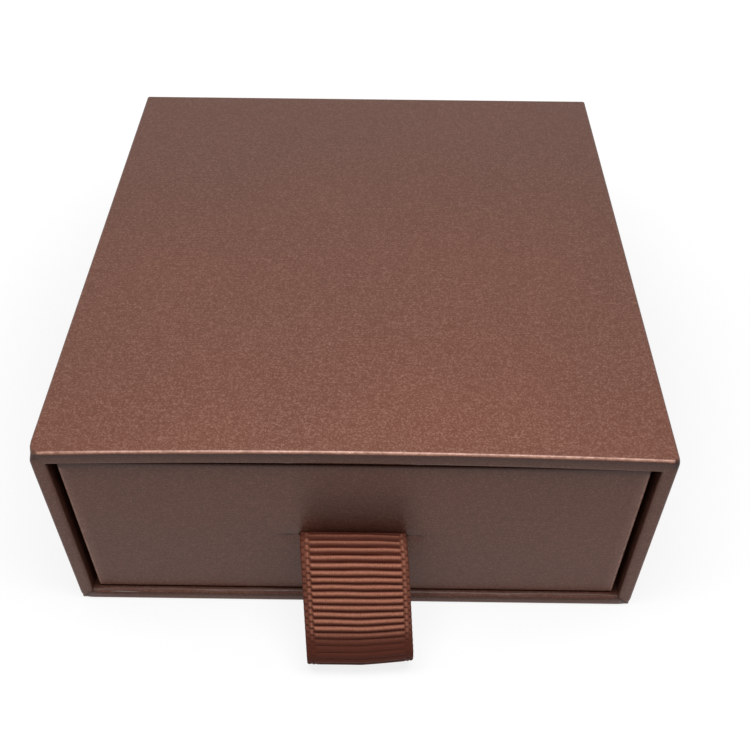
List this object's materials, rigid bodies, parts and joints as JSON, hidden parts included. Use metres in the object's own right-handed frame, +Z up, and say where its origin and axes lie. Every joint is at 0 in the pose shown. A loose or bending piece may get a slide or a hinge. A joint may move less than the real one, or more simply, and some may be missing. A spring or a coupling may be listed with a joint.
{
  "type": "drawer gift box",
  "caption": "Rigid board gift box: a paper-covered sleeve, closed at the back, with a shallow drawer that slides out of its mouth on a looped grosgrain ribbon pull.",
  "frame": {"origin": "middle of the sleeve's underside, on the surface that the box stands on", "axes": "+Z up; the mouth with the drawer front and its ribbon faces -Y; +X is to the right seen from the front"},
  "size_m": [0.09, 0.1078, 0.038],
  "materials": {
    "grey_board": "plain grey board",
    "kraft_tape": "plain kraft tape",
    "covering_paper": "satin pearl copper-brown paper with a fine linen emboss",
    "lining_paper": "satin pearl copper-brown paper with a fine linen emboss",
    "ribbon": "ribbed grosgrain with beaded selvages"
  },
  "bodies": {
    "sleeve": {"sleeve_bottom_board": "grey_board", "sleeve_top_board": "grey_board", "sleeve_left_board": "grey_board", "sleeve_right_board": "grey_board", "sleeve_back_board": "grey_board", "sleeve_bottom_left_tape": "kraft_tape", "sleeve_bottom_right_tape": "kraft_tape", "sleeve_top_left_tape": "kraft_tape", "sleeve_top_right_tape": "kraft_tape", "sleeve_wrap": "covering_paper", "sleeve_base_paper": "covering_paper", "sleeve_back_paper": "covering_paper", "sleeve_lining": "lining_paper"},
    "drawer": {"drawer_base_board": "grey_board", "drawer_front_board": "grey_board", "drawer_back_board": "grey_board", "drawer_left_board": "grey_board", "drawer_right_board": "grey_board", "drawer_front_left_tape": "kraft_tape", "drawer_front_right_tape": "kraft_tape", "drawer_back_left_tape": "kraft_tape", "drawer_back_right_tape": "kraft_tape", "drawer_wrap": "covering_paper", "drawer_lining": "lining_paper", "ribbon_upper_tail": "ribbon", "ribbon_lower_tail": "ribbon", "ribbon_patch": "lining_paper"},
    "ribbon": {"ribbon_loop": "ribbon"}
  },
  "joints": [
    {"name": "drawer_slide", "type": "slide", "parent": "sleeve", "child": "drawer", "axis": [0, -1, 0], "range_m": [0, 0.095]},
    {"name": "ribbon_lift", "type": "hinge", "parent": "drawer", "child": "ribbon", "pos_m": [0, -0.04735, 0.01731], "axis": [-1, 0, 0], "range_deg": [0, 85]}
  ]
}
